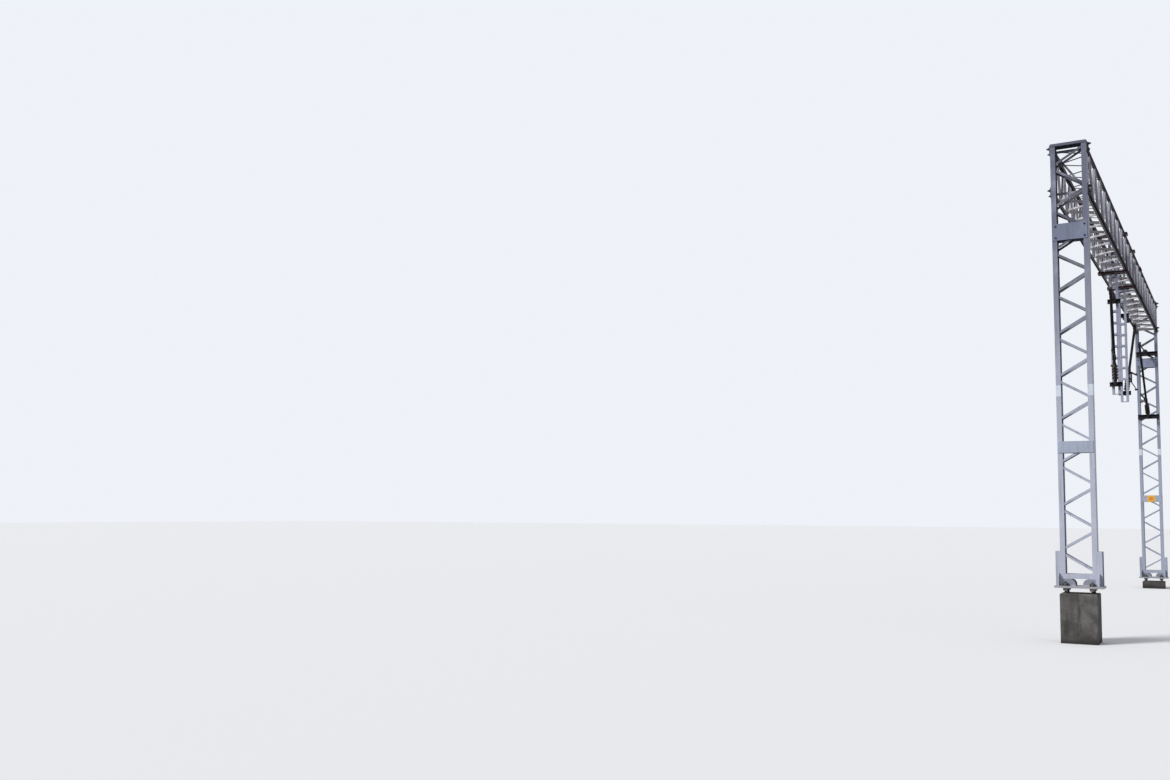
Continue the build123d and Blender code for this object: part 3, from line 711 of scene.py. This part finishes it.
# Insulators. Each cantilever hangs on two: a dark brown porcelain rod with five sheds between
# cast iron caps, with a knuckle and an eye that turns on the hinge pin.
hinge_spacing = 1.910
saddle_over_strut = 0.097
saddle_over_tie = 0.047
eye_radius = 0.026
eye_bore = 0.0125
eye_height = 0.050
eye_rim = 0.003
neck_start = eye_radius * 0.9
neck_length = 0.078
neck_radius = 0.017
knuckle_radius = 0.027
knuckle_width = 0.046
knuckle_bevel = 0.003
knuckle_nut_flats = 0.026
knuckle_nut_height = 0.010
shank_length = 0.055
shank_radius = 0.018
cap_length = 0.062
cap_radius = 0.042
porcelain_length = 0.400
core_radius = 0.034
shed_radius = 0.066
shed_count = 5
glaze_dark = (0.012, 0.008, 0.007, 1)
glaze_warm = (0.026, 0.015, 0.011, 1)
glaze_dust = (0.020, 0.017, 0.017, 1)
glaze_dust_share = 0.5
iron_dark = (0.018, 0.017, 0.018, 1)
iron_pale = (0.060, 0.056, 0.056, 1)

porcelain, shader = start_finish("porcelain", roughness=0.30, sheen=0.16)
pooled = patchy(shader, scale=14.0, low=0.35, high=0.70, detail=4.0)
colour = blend(shader, pooled, glaze_dark, glaze_warm)
dust = patchy(shader, scale=48.0, low=0.50, high=0.75, detail=6.0)
dusty = times(shader, dust, glaze_dust_share)
join(shader, blend(shader, dusty, colour, glaze_dust), "Base Color")
vary_roughness(shader, dust, low=0.26, high=0.60)
roughen(shader, cloudy(shader, scale=30.0, detail=2.0), depth=0.0015, strength=0.25)

cast_iron, shader = start_finish("cast_iron", roughness=0.72, metallic=0.2, sheen=0.2)
grain = patchy(shader, scale=70.0, low=0.40, high=0.68, detail=6.0)
colour = blend(shader, grain, iron_dark, iron_pale)
flash_rust = patchy(shader, scale=24.0, low=0.58, high=0.72)
join(shader, blend(shader, flash_rust, colour, bolt_rust), "Base Color")
roughen(shader, cloudy(shader, scale=260.0), depth=0.0008, strength=0.6)


def shed_outline():
    """Half section of the porcelain: a core with sheds that slope to a rounded drip edge."""
    pitch = porcelain_length / shed_count
    outline = [(0, 0), (core_radius, 0)]
    for index in range(shed_count):
        low = index * pitch
        outline += [
            (core_radius, low + pitch * 0.16),
            (core_radius + 0.004, low + pitch * 0.22),
            (shed_radius * 0.80, low + pitch * 0.36),
            (shed_radius - 0.003, low + pitch * 0.42),
            (shed_radius, low + pitch * 0.46),
            (shed_radius, low + pitch * 0.52),
            (shed_radius - 0.004, low + pitch * 0.56),
            (shed_radius * 0.78, low + pitch * 0.54),
            (core_radius + 0.008, low + pitch * 0.62),
            (core_radius, low + pitch * 0.72),
        ]
    return outline + [(core_radius, porcelain_length), (0, porcelain_length)]


def cap_outline():
    """Half section of a cast cap, with a rolled lip where it meets the porcelain."""
    return [
        (0, 0),
        (cap_radius * 0.70, 0),
        (cap_radius * 0.86, cap_length * 0.10),
        (cap_radius * 0.92, cap_length * 0.62),
        (cap_radius, cap_length * 0.72),
        (cap_radius, cap_length * 0.94),
        (cap_radius * 0.95, cap_length),
        (0, cap_length),
    ]


def eye_outline():
    """Half section of the ring that turns on the hinge pin."""
    half = eye_height / 2
    return [
        (eye_bore, -half),
        (eye_radius - eye_rim, -half),
        (eye_radius, -half + eye_rim),
        (eye_radius, half - eye_rim),
        (eye_radius - eye_rim, half),
        (eye_bore, half),
        (eye_bore, -half),
    ]


mount_places = {mount["name"]: Vector(mount["pos_m"]) for mount in frame["record"]["mounts"]}
hinge_places = {joint["child"]: Vector(joint["pos_m"]) for joint in frame["joints"]}
for number in (1, 2, 3):
    body = f"cantilever_{number}"
    hinge = hinge_places[body]
    saddle = mount_places[f"messenger_saddle_{number}"]
    outward = Vector((saddle.x - hinge.x, saddle.y - hinge.y, 0)).normalized()
    knuckle_line = outward.cross(up)
    sheds = bmesh.new()
    fittings = bmesh.new()
    for eye_at, target in (
        (hinge, saddle - up * saddle_over_strut),
        (hinge + up * hinge_spacing, saddle - up * saddle_over_tie),
    ):
        add_turned(fittings, eye_outline(), Matrix.Translation(eye_at), steps=28)
        neck_at = eye_at + outward * neck_start
        add_round(fittings, neck_at, outward, neck_radius, neck_length - neck_start)
        knuckle = eye_at + outward * neck_length
        half_knuckle = knuckle_line * knuckle_width / 2
        add_round(
            fittings, knuckle - half_knuckle, knuckle_line, knuckle_radius, knuckle_width,
            sides=28, bevel=knuckle_bevel,
        )
        for side in (-1, 1):
            seat = knuckle + half_knuckle * side
            add_nut(fittings, seat, knuckle_line * side, knuckle_nut_flats, knuckle_nut_height)
        aim = (target - knuckle).normalized()
        add_round(fittings, knuckle, aim, shank_radius, shank_length)
        first_cap = knuckle + aim * shank_length
        last_cap = first_cap + aim * (2 * cap_length + porcelain_length)
        add_turned(fittings, cap_outline(), place_along(first_cap, aim))
        add_turned(fittings, cap_outline(), place_along(last_cap, -aim))
        rod_place = place_along(first_cap + aim * cap_length, aim)
        add_turned(sheds, shed_outline(), rod_place, steps=40)
    piece = fit_piece(f"insulator_fittings_{number}", fittings, cast_iron, body)
    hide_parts(f"insulators_{number}")
    fit_piece(f"insulator_porcelain_{number}", sheds, porcelain, body)

# Cantilever tubes. The strut, the tie and the steadying tube are steel tubes gone nearly black
# with soot, and the clamps at their ends are dull bronze castings.
tube_dark = (0.006, 0.006, 0.008, 1)
tube_worn = (0.017, 0.015, 0.018, 1)
tube_rust = (0.050, 0.024, 0.014, 1)
bronze_bare = (0.075, 0.055, 0.032, 1)
bronze_tarnish = (0.022, 0.020, 0.017, 1)

tube_steel, shader = start_finish("tube_steel", roughness=0.75, sheen=0.1)
worn = patchy(shader, scale=9.0, low=0.42, high=0.75, detail=7.0)
colour = blend(shader, worn, tube_dark, tube_worn)
rusty = patchy(shader, scale=34.0, low=0.60, high=0.70, detail=6.0)
join(shader, blend(shader, rusty, colour, tube_rust), "Base Color")
vary_roughness(shader, rusty, low=0.65, high=0.90)
roughen(shader, cloudy(shader, scale=180.0), depth=0.0006, strength=0.5)

clamp_bronze, shader = start_finish("clamp_bronze", roughness=0.7, metallic=0.3)
tarnish = patchy(shader, scale=60.0, low=0.36, high=0.62, detail=6.0)
join(shader, blend(shader, tarnish, bronze_bare, bronze_tarnish), "Base Color")
roughen(shader, cloudy(shader, scale=300.0), depth=0.0005, strength=0.5)

for number in (1, 2, 3):
    finish_nodes(tube_steel, f"strut_{number}", f"tie_{number}", f"steady_arm_{number}")
    finish_nodes(clamp_bronze, f"wire_clamps_{number}")

# Warning plate. A small enamelled sheet on the far mast's middle batten, plain yellow-orange,
# faded redder in the middle and held by four rivets.
enamel_yellow = (0.780, 0.400, 0.035, 1)
enamel_faded = (0.560, 0.160, 0.040, 1)
enamel_faded_share = 0.8
faded_radius = (0.085, 0.030)
rivet_radius = 0.006
rivet_height = 0.003
rivet_bevel = 0.001
rivet_inset = 0.018
sign_low, sign_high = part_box("far_warning_plate")
sign_middle = (sign_low + sign_high) / 2

sign_enamel, shader = start_finish("sign_enamel", roughness=0.30)
place = add_node(shader, "ShaderNodeTexCoord").outputs["Object"]
centred = add_node(shader, "ShaderNodeMapping", Vector=place, Location=-sign_middle)
distance = add_node(shader, "ShaderNodeVectorMath", Vector=centred.outputs["Vector"])
distance.operation = "LENGTH"
faded = between(shader, distance.outputs["Value"], *faded_radius)
faded = times(shader, faded, enamel_faded_share)
colour = blend(shader, faded, enamel_yellow, enamel_faded)
chipped = patchy(shader, scale=55.0, low=0.66, high=0.72, detail=6.0)
join(shader, blend(shader, chipped, colour, bolt_rust), "Base Color")
finish_nodes(sign_enamel, "far_warning_plate")
rivets = bmesh.new()
for y in (sign_low.y + rivet_inset, sign_high.y - rivet_inset):
    for z in (sign_low.z + rivet_inset, sign_high.z - rivet_inset):
        seat = Vector((sign_low.x, y, z))
        add_round(rivets, seat, -along, rivet_radius, rivet_height, sides=16, bevel=rivet_bevel)
fit_piece("sign_rivets", rivets, bolt_steel, "root")

# Floor. A wide plain sheet of matt board at the level where the piers stand. It looks pale, but
# it reflects little light upwards, so that the undersides of the portal stay dark.
floor_size = 400.0
floor_pale = (0.80, 0.80, 0.80, 1)
floor_bounce = (0.20, 0.20, 0.20, 1)
floor_finish, shader = start_finish("floor_finish", roughness=0.9)
ray = add_node(shader, "ShaderNodeLightPath").outputs
shown = figure(shader, "MAXIMUM", ray["Is Camera Ray"], ray["Is Glossy Ray"])
join(shader, blend(shader, shown, floor_bounce, floor_pale), "Base Color")
floor_shape = bmesh.new()
bmesh.ops.create_grid(floor_shape, x_segments=1, y_segments=1, size=floor_size / 2)
floor_mesh = bpy.data.meshes.new("floor")
floor_shape.to_mesh(floor_mesh)
floor_shape.free()
floor_mesh.materials.append(floor_finish)
floor = bpy.data.objects.new("floor", floor_mesh)
bpy.context.scene.collection.objects.link(floor)

# Light. A pale even sky all round, as under thin cloud, with a broad soft lamp from behind the
# camera's left side and a much weaker one from its right.
sky_colour = (0.90, 0.93, 1.0, 1)
sky_strength = 0.45
backdrop_colour = (0.86, 0.89, 0.94, 1)
backdrop_strength = 1.0
world = bpy.data.worlds.new("studio")
bpy.context.scene.world = world
world.use_nodes = True
sky = world.node_tree.nodes["Background"]
join(sky, sky_colour, "Color")
join(sky, sky_strength, "Strength")
backdrop = add_node(
    sky, "ShaderNodeBackground", Color=backdrop_colour, Strength=backdrop_strength
)
ray = add_node(sky, "ShaderNodeLightPath").outputs
seen = figure(sky, "MAXIMUM", ray["Is Camera Ray"], ray["Is Glossy Ray"])
choice = add_node(sky, "ShaderNodeMixShader", Fac=seen)
for socket, light in zip(choice.inputs[1:], (sky, backdrop)):
    feed(socket, light.outputs["Background"])
feed(world.node_tree.nodes["World Output"].inputs["Surface"], choice.outputs["Shader"])


def add_sun(name, direction, strength, softness):
    """Broad soft lamp that shines along a direction, with its softness in degrees."""
    lamp = bpy.data.lights.new(name, "SUN")
    lamp.energy = strength
    lamp.angle = math.radians(softness)
    held = bpy.data.objects.new(name, lamp)
    held.rotation_euler = Vector(direction).to_track_quat("-Z", "Y").to_euler()
    bpy.context.scene.collection.objects.link(held)


add_sun("main_lamp", direction=(0.65, -0.50, -0.57), strength=3.1, softness=14)
add_sun("fill_lamp", direction=(0.45, 0.80, -0.40), strength=0.15, softness=60)

# Camera. It stands where the photograph was taken from, about two metres up and 21 metres before
# the near mast, and looks up along the beam with the whole photograph's frame.
camera_place = Vector((-21.364, -2.4985, 2.144))
camera_yaw = math.radians(31.081)
camera_pitch = math.radians(3.925)
camera_roll = math.radians(0.253)
camera_data = bpy.data.cameras.new("camera")
camera_data.sensor_width = 36.0
camera_data.lens = 35.14
camera_data.shift_x = 0.02206
camera_data.shift_y = 0.03886
camera_data.clip_end = 1000.0
camera = bpy.data.objects.new("camera", camera_data)
bpy.context.scene.collection.objects.link(camera)
aim = Vector(
    (
        math.cos(camera_pitch) * math.cos(camera_yaw),
        math.cos(camera_pitch) * math.sin(camera_yaw),
        math.sin(camera_pitch),
    )
)
turn = aim.to_track_quat("-Z", "Y").to_matrix().to_4x4() @ Matrix.Rotation(camera_roll, 4, "Z")
camera.matrix_world = Matrix.Translation(camera_place) @ turn
bpy.context.scene.camera = camera
bpy.context.scene.view_settings.view_transform = "Standard"
